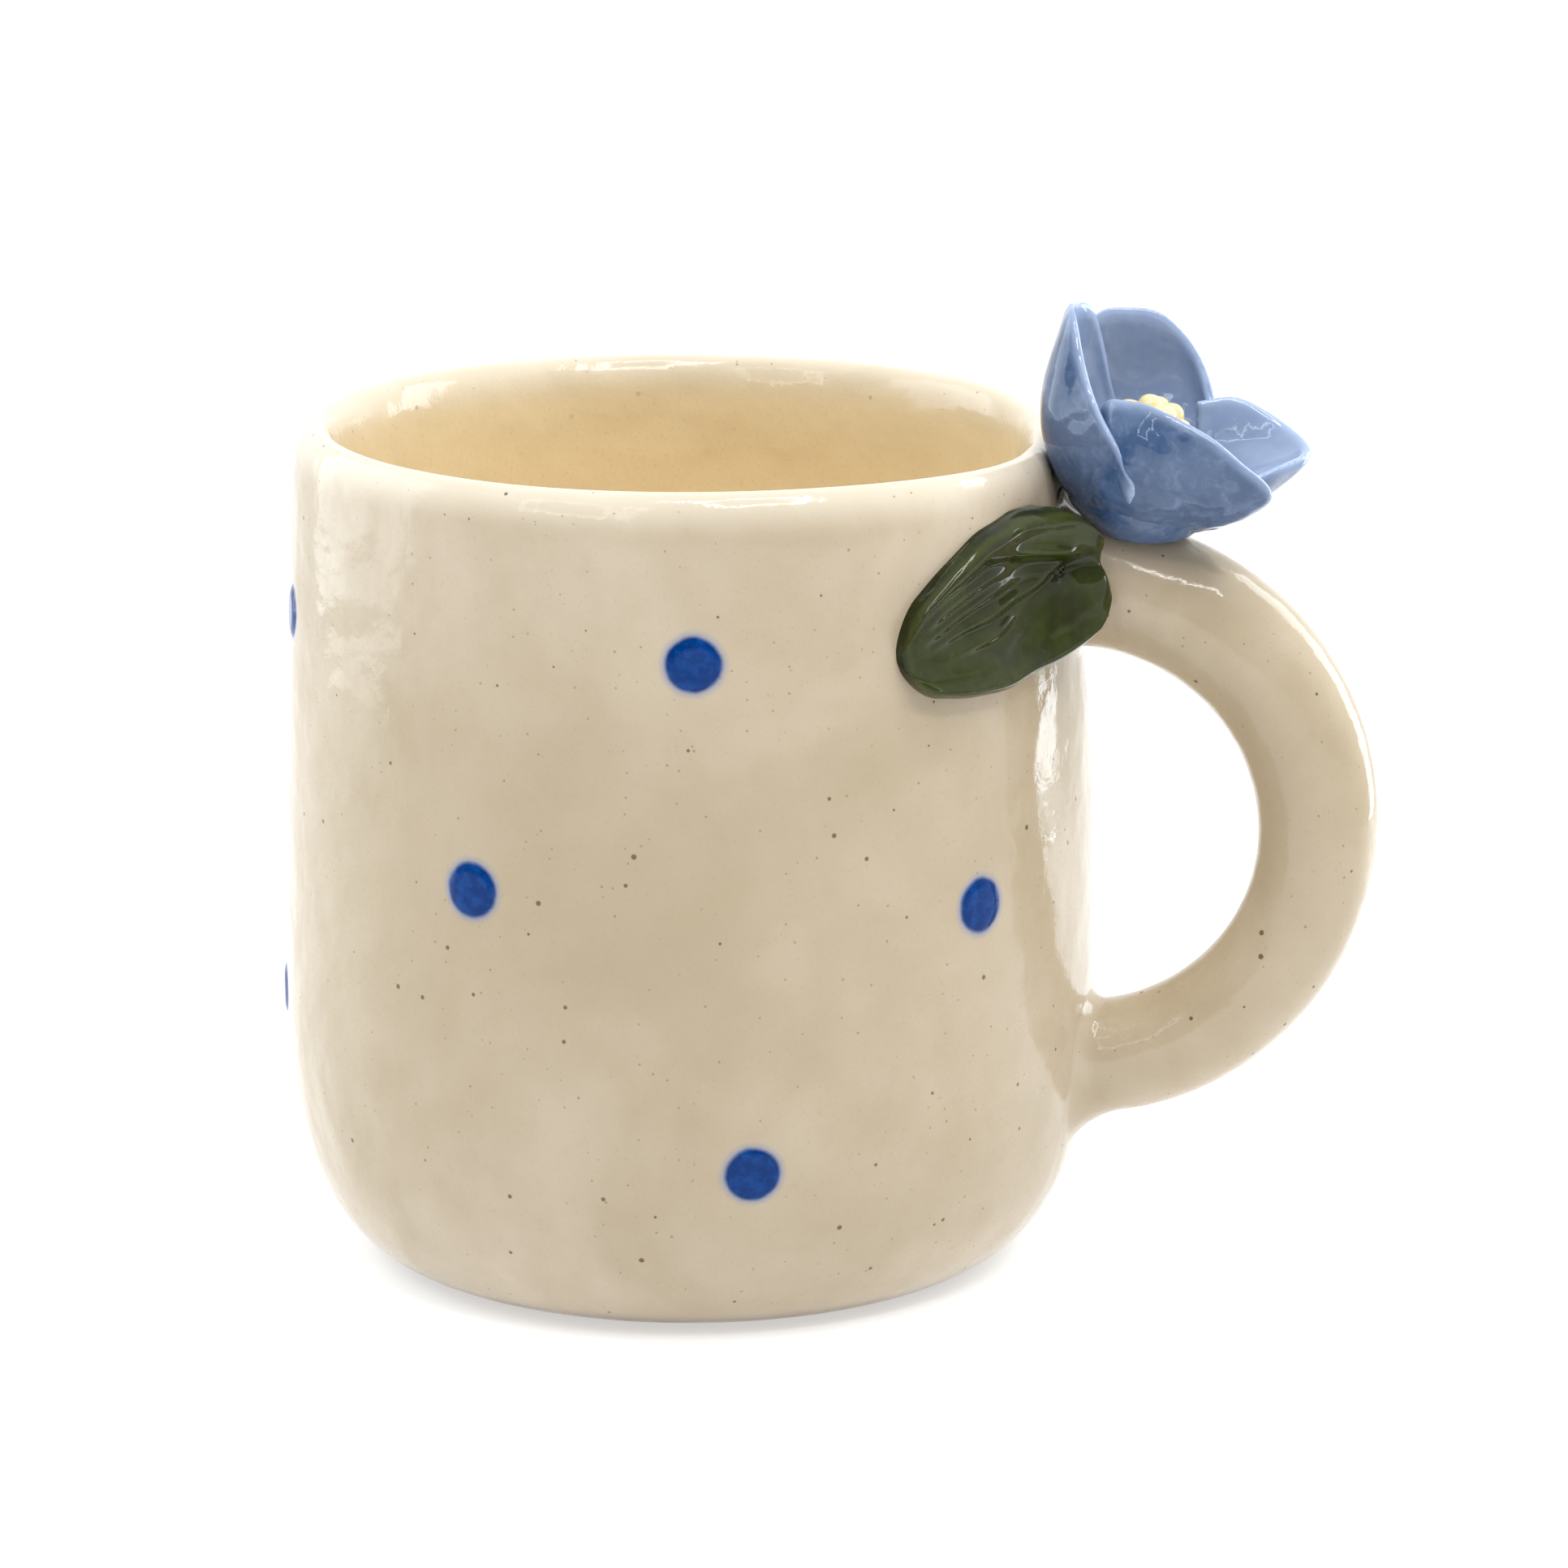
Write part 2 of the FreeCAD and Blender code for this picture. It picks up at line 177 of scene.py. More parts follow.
# Seat: poles of its outside and of its dished top, as radius and height
SEAT_OUTSIDE = ((4.3, -0.6), (4.9, -0.5), (5.2, 0.2), (7.2, 1.2), (8.6, 3.0), (8.5, 4.4))
SEAT_TOP = ((8.5, 4.4), (8.2, 5.2), (6.4, 5.0), (5.0, 4.0), (2.0, 3.6))
SEAT_WAVE = 0.02

# Stamen heap: a dome, and rings of heads as reach, number, first angle, height and size
HEAP_RISE = 3.4
HEAP_DOME = ((3.3, 0.0), (3.6, 6.0), (2.2, 9.2), (0.3, 9.4))
HEAP_WAVE = 0.03
HEAD_SHAPE = ((0.0, -1.0), (1.1, -1.1), (1.35, 0.3), (0.9, 1.05), (0.0, 1.0))
HEAD_RINGS = ((0.0, 1, 0.0, 9.8, 1.5), (2.2, 6, 0.3, 9.0, 1.45), (3.2, 8, 0.0, 7.2, 1.35))
HEAD_SIZES = (0.88, 1.1)
HEAD_SHIFT = 0.3
HEAD_WAVE = 0.05

# Leaves: distances round the wall start at the handle's plane
LEAF_ROOT_ARC = 7.2
LEAF_TIP_ARC = 37.4
LEAF_ROOT_Z = 79.6
LEAF_TIP_Z = 73.2
LEAF_BOW = 0.5  # the midline bows up between root and tip
# Outline on either side of the midline: half width, and start and length on a half sine wave
LEAF_ABOVE = (9.4, 0.2, 0.73)
LEAF_BELOW = (8.6, 0.14, 0.76)
LEAF_FULLNESS = 0.7  # power that fills the outline out
LEAF_THICKNESS = 2.0
LEAF_ROOT_LIFT = 4.4  # the root climbs off the wall onto the side of the handle
LEAF_LIFT_ARC = 14.0
LEAF_ROOT_ROUND = 0.16  # shares of the length over which the ends close
LEAF_TIP_ROUND = 0.12
LEAF_EDGE_RADIUS = 1.3
LEAF_EDGE_WIDTH = 7.0  # rough distances to the edge, from the midline and from an end
LEAF_EDGE_LENGTH = 3.0
LEAF_FACE_SINK = 0.15
LEAF_BACK_SINK = 0.3
LEAF_WAVER = 0.02
LEAF_GRAIN = 0.08
LEAF_STEPS_LONG = 150
LEAF_STEPS_WIDE = 141

# Pressed relief of a leaf, placed by shares of its length and of its half width
LEAF_RIM_ROLL = 0.55
LEAF_RIM_AT = 0.84
LEAF_RIM_WIDTH = 0.12
LEAF_RIM_FLAT = 0.75  # share of the rim that is pressed flat below the root
LEAF_RIM_FLAT_SPAN = 0.25
LEAF_BOWL = 0.5
LEAF_BOWL_START = 0.2
LEAF_BOWL_END = 0.3
LEAF_HOLLOW = (0.1, 0.2)
LEAF_HOLLOW_SIZE = (0.075, 0.26)
LEAF_HOLLOW_DEPTH = 1.3
LEAF_POOL_AND_SHADE_SIZE = (0.08, 0.25)  # glaze pooling and painted shade darken the hollow over this size
LEAF_LOBE = (0.09, -0.35)
LEAF_LOBE_SIZE = (0.12, 0.45)
LEAF_LOBE_RISE = 0.2
GROOVE_START = 0.1
GROOVE_START_SPAN = 0.12
GROOVE_SNAKE = 0.018
GROOVE_FAN_START = 0.02
GROOVE_FAN_SPAN = 0.62
GROOVE_FAN_POWER = 0.8
GROOVE_WIDTH = 0.07
GROOVE_WIDENING = 0.045
GROOVE_RIDGE = 0.35  # height of the ridge beside a groove as a share of its depth
GROOVE_RIDGE_AT = 0.13
GROOVE_FADE = 0.26
# Each groove: where it ends across the leaf, where it ends along it, and how deep it is
LEAF_GROOVES = (
    (-0.58, 0.70, 0.3), (-0.33, 0.86, 0.6), (-0.09, 0.93, 0.85),
    (0.14, 0.95, 0.9), (0.37, 0.93, 0.8), (0.58, 0.82, 0.7),
)

# Camera: in front of the mug, turned towards the handle, and looking down on it
CAMERA_AZIMUTH = math.radians(12.0)
CAMERA_ELEVATION = math.radians(14.32)
CAMERA_DISTANCE = 700.0
CAMERA_TARGET = np.array([0.0, 0.0, 45.0])
CAMERA_LENS = 147.5
CAMERA_SENSOR = 36.0
CAMERA_NEAR = 0.05
AIM_RIGHT = 0.01447  # the view's centre is this far off the target, per unit of distance
AIM_UP = 0.0083

# White tent: brightness low down on the camera's side and everywhere else
TENT_FRONT = 0.06
TENT_BACK = 1.3
TENT_LEAN = 0.85  # weight of the upward direction beside the backward one
TENT_FADE = (-0.5, 0.6)

# Lamps: place and size in metres, and power in watts
LAMP_AIM = Vector((0, 0, 0.06))
DAYLIGHT = (0.84, 0.93, 1.0)
WHITE = (1.0, 1.0, 1.0)
STRIPS = {
    "left_strip": {"place": (-0.3, 0.03, 0.16), "size": (0.26, 0.32), "power": 0.55},
    "right_strip": {"place": (0.2, 0.13, 0.12), "size": (0.08, 0.24), "power": 0.32},
}
TUBE_FRAMES = {
    "top_tube": {"place": (0.22, -0.28, 0.7), "side": 0.36, "width": 0.045, "power": 3.5},
    "front_tube": {"place": (-0.19, -0.454, 0.4), "side": 0.27, "width": 0.019, "power": 0.46},
}

# Paper under the mug: half its width in metres, and how much it lights up by itself
PAPER_REACH = 30.0
PAPER_TONE = 0.6
PAPER_GLOW = 0.52
PAPER_ROUGHNESS = 0.9


# ---------------------------------------------------------------- small maths

def smooth_step(t):
    t = np.clip(t, 0.0, 1.0)
    return t * t * (3 - 2 * t)


def bell(x, width):
    return np.exp(-(x / width) ** 2)


def quarter_round(distance, radius):
    """0 at an edge, rising along a quarter circle to 1 at the radius and beyond."""
    return np.sqrt(1 - (1 - np.clip(distance / radius, 0, 1)) ** 2)


def bezier(poles, count):
    """Points along a Bezier curve of any degree, both ends included."""
    poles = np.array(poles, float)
    degree = len(poles) - 1
    t = np.linspace(0, 1, count)[:, None]
    terms = [math.comb(degree, k) * (1 - t) ** (degree - k) * t ** k * poles[k] for k in range(degree + 1)]
    return sum(terms)


def through(points, t):
    """Smooth curve through evenly spaced points (Catmull-Rom), for t from 0 to 1."""
    points = np.array(points, float)
    padded = np.vstack([2 * points[0] - points[1], points, 2 * points[-1] - points[-2]])
    place = np.clip(np.asarray(t) * (len(points) - 1), 0, len(points) - 1 - 1e-9)
    k = place.astype(int)
    f = (place - k)[..., None]
    a, b, c, d = padded[k], padded[k + 1], padded[k + 2], padded[k + 3]
    cubic = (3 * b - a - 3 * c + d) * f ** 3
    return 0.5 * (2 * b + (c - a) * f + (2 * a - 5 * b + 4 * c - d) * f ** 2 + cubic)


def ripple(a, b, seed):
    """Gentle uneven surface of two parameters, about -1 to 1, the same every run."""
    draw = np.random.default_rng(seed)
    total = 0
    for _ in range(5):
        fa, fb = draw.uniform(-3.2, 3.2, 2)
        total = total + np.sin(fa * a + fb * b + draw.uniform(0, 2 * math.pi))
    return total / 3


def full_turn(count):
    return np.linspace(0, 2 * math.pi, count, endpoint=False)


# ---------------------------------------------------------------- mesh making

def make_piece(name, points, faces, material, attributes=None):
    mesh = bpy.data.meshes.new(name)
    mesh.from_pydata((np.asarray(points) * MM).tolist(), [], faces)
    mesh.validate()
    mesh.polygons.foreach_set("use_smooth", [True] * len(mesh.polygons))
    for key, values in (attributes or {}).items():
        layer = mesh.attributes.new(key, "FLOAT", "POINT")
        layer.data.foreach_set("value", np.asarray(values, float).ravel())
    mesh.materials.append(material)
    piece = bpy.data.objects.new(name, mesh)
    bpy.context.scene.collection.objects.link(piece)
    return piece


def grid_faces(rows, columns, close_columns=False, start=0, flip=False):
    faces = []
    for i in range(rows - 1):
        for j in range(columns if close_columns else columns - 1):
            k = (j + 1) % columns
            row, next_row = start + i * columns, start + (i + 1) * columns
            face = [row + j, row + k, next_row + k, next_row + j]
            faces.append(face[::-1] if flip else face)
    return faces


def fan_faces(ring, centre, flip=False):
    faces = []
    for i, corner in enumerate(ring):
        face = [corner, ring[(i + 1) % len(ring)], centre]
        faces.append(face[::-1] if flip else face)
    return faces


def edge_strip(columns, rows):
    """Faces that close two grids of the same size along all four sides."""
    top = [(i, rows - 1) for i in range(columns)]
    far = [(columns - 1, j) for j in range(rows - 1, -1, -1)]
    bottom = [(i, 0) for i in range(columns - 1, -1, -1)]
    near = [(0, j) for j in range(rows)]
    border = top + far[1:] + bottom[1:] + near[1:-1]
    one = [i * rows + j for i, j in border]
    other = [columns * rows + k for k in one]
    faces = []
    for k in range(len(one)):
        n = (k + 1) % len(one)
        faces.append([one[k], other[k], other[n], one[n]])
    return faces


def join_parts(parts):
    """Joins (points, faces) lists into one list of points and faces."""
    points, faces, start = [], [], 0
    for part_points, part_faces in parts:
        points.append(part_points)
        faces += [[start + i for i in face] for face in part_faces]
        start += len(part_points)
    return np.vstack(points), faces


def weld(piece):
    """Merges points that coincide along a rounded edge and turns all faces outward."""
    work = bmesh.new()
    work.from_mesh(piece.data)
    bmesh.ops.remove_doubles(work, verts=work.verts, dist=WELD_GAP * MM)
    bmesh.ops.recalc_face_normals(work, faces=work.faces)
    work.to_mesh(piece.data)
    work.free()


def turned(profile, centre, steps, wave):
    """Closed lump turned about an upright axis, with an uneven outline."""
    turn = full_turn(steps)
    profile = np.array(profile)
    radius = profile[1:-1, :1] * (1 + wave * np.sin(3 * turn + profile[1:-1, 1:]))
    z = np.repeat(profile[1:-1, 1:], steps, 1)
    points = np.stack([radius * np.cos(turn), radius * np.sin(turn), z], -1).reshape(-1, 3)
    rows = len(profile) - 2
    faces = grid_faces(rows, steps, close_columns=True)
    faces += fan_faces(list(range(steps)), len(points), flip=True)
    faces += fan_faces([(rows - 1) * steps + j for j in range(steps)], len(points) + 1)
    points = np.vstack([points, [[0, 0, profile[0, 1]]], [[0, 0, profile[-1, 1]]]])
    return points + centre, faces


# ---------------------------------------------------------------- cup

def corner_curve(foot, belly, floor_z, count):
    """Rounded corner from a level foot or floor up to the belly."""
    return bezier([
        (foot, floor_z),
        (foot + (belly - foot) * CORNER_PULL_FOOT, floor_z),
        (belly, floor_z + (BELLY_Z - floor_z) * (1 - CORNER_PULL_WALL)),
        (belly, BELLY_Z),
    ], count)


def outer_profile():
    rise = SHOULDER_Z - BELLY_Z
    corner = corner_curve(FOOT_RADIUS, BELLY_RADIUS, 0, count=36)
    wall = bezier([
        (BELLY_RADIUS, BELLY_Z),
        (BELLY_RADIUS, BELLY_Z + rise / 3),
        (SHOULDER_RADIUS + SHOULDER_PULL, SHOULDER_Z - rise / 3),
        (SHOULDER_RADIUS, SHOULDER_Z),
    ], count=44)
    lip = bezier([
        (SHOULDER_RADIUS, SHOULDER_Z),
        (SHOULDER_RADIUS - LIP_OUTER_LEAN, CUP_HEIGHT - LIP_OUTER_DROP),
        (LIP_CENTRE_RADIUS + LIP_OUTER_REACH, CUP_HEIGHT),
        (LIP_CENTRE_RADIUS, CUP_HEIGHT),
    ], count=20)
    return np.vstack([corner, wall[1:], lip[1:]])


def inner_profile():
    belly = BELLY_RADIUS - WALL
    foot = FOOT_RADIUS - WALL
    shoulder = SHOULDER_RADIUS - WALL - LIP_SWELL
    lip = bezier([
        (LIP_CENTRE_RADIUS, CUP_HEIGHT),
        (LIP_CENTRE_RADIUS - LIP_INNER_REACH, CUP_HEIGHT),
        (shoulder - LIP_INNER_LEAN, CUP_HEIGHT - LIP_INNER_DROP),
        (shoulder, SHOULDER_Z),
    ], count=18)
    wall = bezier([(shoulder, SHOULDER_Z), (belly, BELLY_Z)], count=30)
    corner = corner_curve(foot, belly, FLOOR, count=24)[::-1]
    floor = bezier([(foot, FLOOR), (HUB_RADIUS, FLOOR)], count=8)
    return np.vstack([lip[1:], wall[1:], corner[1:], floor[1:]])


OUTER = outer_profile()


def wall_radius(z):
    return np.interp(z, OUTER[:, 1], OUTER[:, 0])


def by_hand(radius, angle, z):
    """Where a point of the true round cup lies on the uneven hand-made one."""
    angle = np.arctan2(np.sin(angle), np.cos(angle))
    lean = LEAN_IN * smooth_step((z - LEAN_FROM_Z) / (CUP_HEIGHT - LEAN_FROM_Z)) * bell(angle, LEAN_WIDTH)
    bulges = sum(far * np.sin(count * angle + phase + z / twist) for far, count, phase, twist in OUT_OF_ROUND)
    sag = SAG * smooth_step((z - SAG_FROM_Z) / SAG_SPAN) * bell(angle, SAG_WIDTH)
    waviness = RIM_WAVE * smooth_step((z - RIM_WAVE_FROM_Z) / RIM_WAVE_SPAN)
    wave = waviness * np.sin(2 * angle + RIM_WAVE_PHASE)
    radius = radius - lean + smooth_step(z / TRUE_FOOT) * bulges * radius / BELLY_RADIUS
    return np.stack([radius * np.cos(angle), radius * np.sin(angle), z - sag + wave], -1)


def on_wall(arc, z, height):
    """Point over the outside of the cup; arc is measured round from the handle's plane."""
    return by_hand(wall_radius(z) + height, arc / BELLY_RADIUS, z)


def cup_body(material):
    foot = bezier([(HUB_RADIUS, 0), (FOOT_RADIUS, 0)], count=12)[:-1]
    inner = inner_profile()
    profile = np.vstack([foot, OUTER, inner])
    rows = len(profile)
    radius, angle = np.meshgrid(profile[:, 0], full_turn(CUP_POINTS_ROUND), indexing="ij")
    z = np.repeat(profile[:, 1:], CUP_POINTS_ROUND, 1)
    points = by_hand(radius, angle, z).reshape(-1, 3)
    faces = grid_faces(rows, CUP_POINTS_ROUND, close_columns=True)
    under, floor = len(points), len(points) + 1
    points = np.vstack([points, [[0, 0, 0]], [[0, 0, FLOOR]]])
    last_row = (rows - 1) * CUP_POINTS_ROUND
    faces += fan_faces(list(range(CUP_POINTS_ROUND)), under, flip=True)
    faces += fan_faces([last_row + j for j in range(CUP_POINTS_ROUND)], floor)
    rows_past_crest = np.arange(rows) - (rows - len(inner))
    inside = smooth_step((rows_past_crest + 3) / 24)
    inside = np.append(np.repeat(inside, CUP_POINTS_ROUND), [0, 1])
    piece = make_piece("cup", points, faces, material, {"inside": inside})
    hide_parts("cup_body")
    return piece


# ---------------------------------------------------------------- handle

def coil_radius(share):
    thinning = (HANDLE_LOW_RADIUS - HANDLE_TOP_RADIUS) * smooth_step(share / HANDLE_TAPER_END)
    return HANDLE_TOP_RADIUS + thinning


def wall_ahead(aside, z):
    """X of the cup's wall beside the handle's plane, from the centre of the handle's arc."""
    angle = np.arcsin(np.clip(aside / BELLY_RADIUS, -1, 1))
    return by_hand(wall_radius(z), angle, z)[:, 0] - HANDLE_CENTRE[0]


def coil_rings(turn):
    """Rings along the coil: run to each point, flare beyond the coil, and depth in the wall."""
    outside = np.cos(turn)
    top = FILLET_TOP + FILLET_TOP_OUTSIDE * outside
    low = FILLET_LOW + FILLET_LOW_OUTSIDE * np.clip(outside, 0, 1) ** 2
    low = low + FILLET_LOW_INSIDE * np.clip(-outside, 0, 1)
    bend = np.linspace(0, math.pi / 2, FILLET_STEPS)
    fillet = list(zip(1 - np.cos(bend), 1 - np.sin(bend)))
    between = COIL_LENGTH - low - top
    rings = [(0 * top, FILLET_SKIRT * top, FILLET_SINK)]
    rings += [(off_wall * top, spread * top, 0.0) for off_wall, spread in fillet]
    rings += [(top + between * share, 0 * top, 0.0) for share in np.linspace(0, 1, COIL_STEPS)[1:-1]]
    rings += [(COIL_LENGTH - off_wall * low, spread * low, 0.0) for off_wall, spread in fillet[::-1]]
    rings += [(COIL_LENGTH + 0 * low, FILLET_SKIRT * low, FILLET_SINK)]
    return rings


def coil_ring(run, flare, sink, turn):
    """Points of one ring, drawn onto the wall if it is near an end."""
    share = run / COIL_LENGTH
    radius = coil_radius(share) * (1 + COIL_WAVER * ripple(share * 6, turn, 5)) + flare
    aside = radius * np.sin(turn)
    arc = HANDLE_ARC_RADIUS + radius * np.cos(turn)
    top_wall = wall_ahead(aside, HANDLE_CENTRE[2] + arc) - sink
    low_wall = wall_ahead(aside, HANDLE_CENTRE[2] - arc - HANDLE_DROOP) - sink
    top_hold = 1 - smooth_step(run / HANDLE_HOLD)
    low_hold = 1 - smooth_step((COIL_LENGTH - run) / HANDLE_HOLD)
    along = run + top_hold * top_wall + low_hold * (HANDLE_LENGTH - COIL_LENGTH - low_wall)
    bend = np.clip(along, 0, HANDLE_LENGTH) / HANDLE_ARC_RADIUS
    past_ends = np.minimum(along, 0) - np.maximum(along - HANDLE_LENGTH, 0)
    droop = HANDLE_DROOP * smooth_step((share - HANDLE_DROOP_START) / (1 - HANDLE_DROOP_START))
    x = HANDLE_CENTRE[0] + arc * np.sin(bend) + past_ends
    z = HANDLE_CENTRE[2] + arc * np.cos(bend) - droop
    return np.stack([x, aside, z], -1)


def handle(material):
    """Bent coil whose ends spread onto the wall in a smeared fillet."""
    turn = full_turn(COIL_POINTS_ROUND)
    rings = [coil_ring(run, flare, sink, turn) for run, flare, sink in coil_rings(turn)]
    faces = grid_faces(len(rings), COIL_POINTS_ROUND, close_columns=True)
    piece = make_piece("handle_coil", np.vstack(rings), faces, material)
    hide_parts("handle")
    return piece


# ---------------------------------------------------------------- slip dots

def dot_centre(angle, z, height):
    arc = np.array([math.radians(angle) * BELLY_RADIUS])
    return on_wall(arc, np.array([float(z)]), height)


def slip_dot(k, angle, z):
    """Thin raised pad, numbered k, whose skirt runs out just inside the wall."""
    rings, steps = 12, 48
    turn = full_turn(steps)
    share = np.linspace(0, 1, rings + 1)[1:, None]
    waver = DOT_OVAL * np.sin(2 * turn + k) + DOT_LUMP * np.sin(3 * turn + 2.3 * k)
    reach = share * DOT_RADIUS * (DOT_SKIRT + waver)
    height = DOT_RELIEF * (1 - smooth_step((share - DOT_FLAT) / (1 - DOT_FLAT)))
    height = height - DOT_SINK * smooth_step((share - DOT_SINK_START) / (1 - DOT_SINK_START))
    arc = math.radians(angle) * BELLY_RADIUS + reach * np.cos(turn)
    points = on_wall(arc, z + reach * np.sin(turn), height).reshape(-1, 3)
    faces = grid_faces(rings, steps, close_columns=True, flip=True)
    faces += fan_faces(list(range(steps)), len(points))
    return np.vstack([points, dot_centre(angle, z, DOT_RELIEF)]), faces


def slip_dots(material):
    points, faces = join_parts([slip_dot(k, angle, z) for k, (angle, z) in enumerate(DOT_PLACES)])
    piece = make_piece("slip_dots", points, faces, material)
    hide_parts("glaze_dots")
    return piece


# ---------------------------------------------------------------- flower

def petal_middle(rim, bulge, a, w):
    """Points of a petal's middle surface: a runs along the rim, w from the root to the rim."""
    azimuth, reach, rise = np.moveaxis(through(rim, a), -1, 0)
    azimuth = np.radians(azimuth)
    belly_reach = bulge + PETAL_BULGE_PER_REACH * reach + PETAL_BULGE_PER_RISE * rise
    belly_reach = belly_reach - PETAL_TUCK * (1 - smooth_step(a / PETAL_TUCK_END))
    belly_rise = PETAL_BELLY_RISE * rise
    root_share, belly_share, rim_share = (1 - w) ** 2, 2 * w * (1 - w), w * w
    out = PETAL_ROOT_REACH * root_share + belly_reach * belly_share + reach * rim_share
    up = PETAL_ROOT_RISE * root_share + belly_rise * belly_share + rise * rim_share
    return np.stack([out * np.cos(azimuth), out * np.sin(azimuth), up], -1) + FLOWER


def surface_normals(place):
    normal = np.cross(np.gradient(place, axis=0), np.gradient(place, axis=1))
    length = np.linalg.norm(normal, axis=-1, keepdims=True)
    return normal / np.maximum(length, 1e-9)


def petal(name, seed, material):
    """Thick pressed petal: two faces that meet in a rounded edge."""
    a = np.linspace(0, 1, PETAL_COLUMNS)[:, None] + np.zeros(PETAL_ROWS)
    w = 1 - (1 - np.linspace(0, 1, PETAL_ROWS)) ** PETAL_ROWS_CROWD + np.zeros((PETAL_COLUMNS, 1))
    rim_w = w * (1 + PETAL_RIM_WAVER * ripple(a * 9, 0, seed))
    place = petal_middle(PETAL_RIMS[name], PETAL_BULGES[name], a, rim_w)
    normal = surface_normals(place)
    dent = PETAL_DENT * ripple(a * 3.2, w * 2.6, seed + 1) * smooth_step(w / 0.4) * (1 - 0.5 * w)
    grain = PETAL_GRAIN * ripple(a * 12, w * 9, seed + 2)
    place = place + normal * (dent + grain)[..., None]
    to_side = (1 - np.abs(2 * a - 1)) * PETAL_HALF_WIDTH
    to_edge = np.minimum((1 - w) * PETAL_ROOT_TO_RIM, to_side)
    rounding = quarter_round(to_edge, PETAL_EDGE_RADIUS)
    thinning = 1.1 - 0.5 * w ** 2 + 0.1 * ripple(a * 7, w * 5, seed + 3)
    half = PETAL_THICKNESS / 2 * thinning * rounding
    swell = PETAL_ROOT_SWELL * (1 - smooth_step(w / PETAL_ROOT_SWELL_END)) * rounding
    outer = place + normal * half[..., None]
    inner = place - normal * (half + swell)[..., None]
    points = np.vstack([outer.reshape(-1, 3), inner.reshape(-1, 3)])
    faces = grid_faces(PETAL_COLUMNS, PETAL_ROWS)
    faces += grid_faces(PETAL_COLUMNS, PETAL_ROWS, start=PETAL_COLUMNS * PETAL_ROWS, flip=True)
    faces += edge_strip(PETAL_COLUMNS, PETAL_ROWS)
    edge = 1 - np.clip(to_edge / PETAL_EDGE_BAND, 0, 1)
    # Glaze pooling and painted shade in the dents, at 0.4 strength on the outer face
    hollow = np.clip(-dent * 1.6, 0, 1)
    attributes = {
        "edge": [edge, edge],
        # inner: painted light, the inner face turns paler towards the rim
        "inner": [0 * w, smooth_step(w / 0.9)],
        "hollow": [0.4 * hollow, hollow],
    }
    piece = make_piece(name + "_clay", points, faces, material, attributes)
    weld(piece)
    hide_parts(name)
    return piece


def flower_seat(material):
    profile = np.vstack([
        [(0, SEAT_OUTSIDE[0][1])],
        bezier(SEAT_OUTSIDE, count=26),
        bezier(SEAT_TOP, count=18)[1:],
        [(0, SEAT_TOP[-1][1])],
    ])
    points, faces = turned(profile, FLOWER, 96, SEAT_WAVE)
    edge = np.zeros(len(points))
    piece = make_piece("flower_base", points, faces, material, {"edge": edge, "hollow": edge + 0.3})
    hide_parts("flower_seat")
    return piece


def flower_centre(material):
    """Heap of small clay heads on a dome."""
    base = FLOWER + np.array([0, 0, HEAP_RISE])
    dome = np.vstack([[(0, 0)], bezier(HEAP_DOME, count=20), [(0, HEAP_DOME[-1][1])]])
    parts = [turned(dome, base, 40, HEAP_WAVE)]
    draw = np.random.default_rng(11)
    for reach, number, first_angle, height, ring_size in HEAD_RINGS:
        for k in range(number):
            angle = 2 * math.pi * k / number + first_angle
            size = ring_size * draw.uniform(*HEAD_SIZES)
            head = bezier(HEAD_SHAPE, count=14) * size
            head[0, 0] = head[-1, 0] = 0
            up = height + draw.uniform(-HEAD_SHIFT, HEAD_SHIFT)
            centre = base + np.array([reach * math.cos(angle), reach * math.sin(angle), up])
            parts.append(turned(head, centre, 24, HEAD_WAVE))
    points, faces = join_parts(parts)
    piece = make_piece("stamen_heap", points, faces, material)
    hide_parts("flower_centre")
    return piece


# ---------------------------------------------------------------- leaves

def leaf_side(u, half_width, start, length):
    """Width of a leaf on one side of its midline: a broad root and a blunt tip."""
    return half_width * np.sin(math.pi * (start + length * u)) ** LEAF_FULLNESS


def mound(u, v, centre, size):
    """1 at a place on the leaf, fading out over a size along it and across it."""
    return bell(u - centre[0], size[0]) * bell(v - centre[1], size[1])


def leaf_grooves(u, v, seed):
    """Depth of the channels that fan out from the hollow, each with a ridge beside it."""
    spread = smooth_step((u - GROOVE_FAN_START) / GROOVE_FAN_SPAN) ** GROOVE_FAN_POWER
    width = GROOVE_WIDTH + GROOVE_WIDENING * spread
    start = smooth_step((u - GROOVE_START) / GROOVE_START_SPAN)
    grooves = 0
    for across, stop, depth in LEAF_GROOVES:
        snake = GROOVE_SNAKE * np.sin(7 * u + seed + 9 * across)
        off = v - LEAF_HOLLOW[1] - (across - LEAF_HOLLOW[1]) * spread - snake
        fade = start * (1 - smooth_step((u - stop + GROOVE_FADE) / GROOVE_FADE))
        ridge = GROOVE_RIDGE * bell(off - GROOVE_RIDGE_AT, width)
        grooves = grooves - depth * fade * (bell(off, width) - ridge)
    return grooves


def leaf_relief(u, v):
    """Raised rim, sunken middle, a hollow near the root and a lobe below it."""
    below_root = (v < 0) * (1 - smooth_step(u / LEAF_RIM_FLAT_SPAN - 1))
    rim = bell(np.abs(v) - LEAF_RIM_AT, LEAF_RIM_WIDTH)
    rim_roll = LEAF_RIM_ROLL * rim * (1 - LEAF_RIM_FLAT * below_root)
    bowl_ends = smooth_step(u / LEAF_BOWL_START) * smooth_step((1 - u) / LEAF_BOWL_END)
    bowl = -LEAF_BOWL * (1 - v ** 2) * bowl_ends
    hollow = -LEAF_HOLLOW_DEPTH * mound(u, v, LEAF_HOLLOW, LEAF_HOLLOW_SIZE)
    lobe = LEAF_LOBE_RISE * mound(u, v, LEAF_LOBE, LEAF_LOBE_SIZE)
    return rim_roll + bowl + hollow + lobe


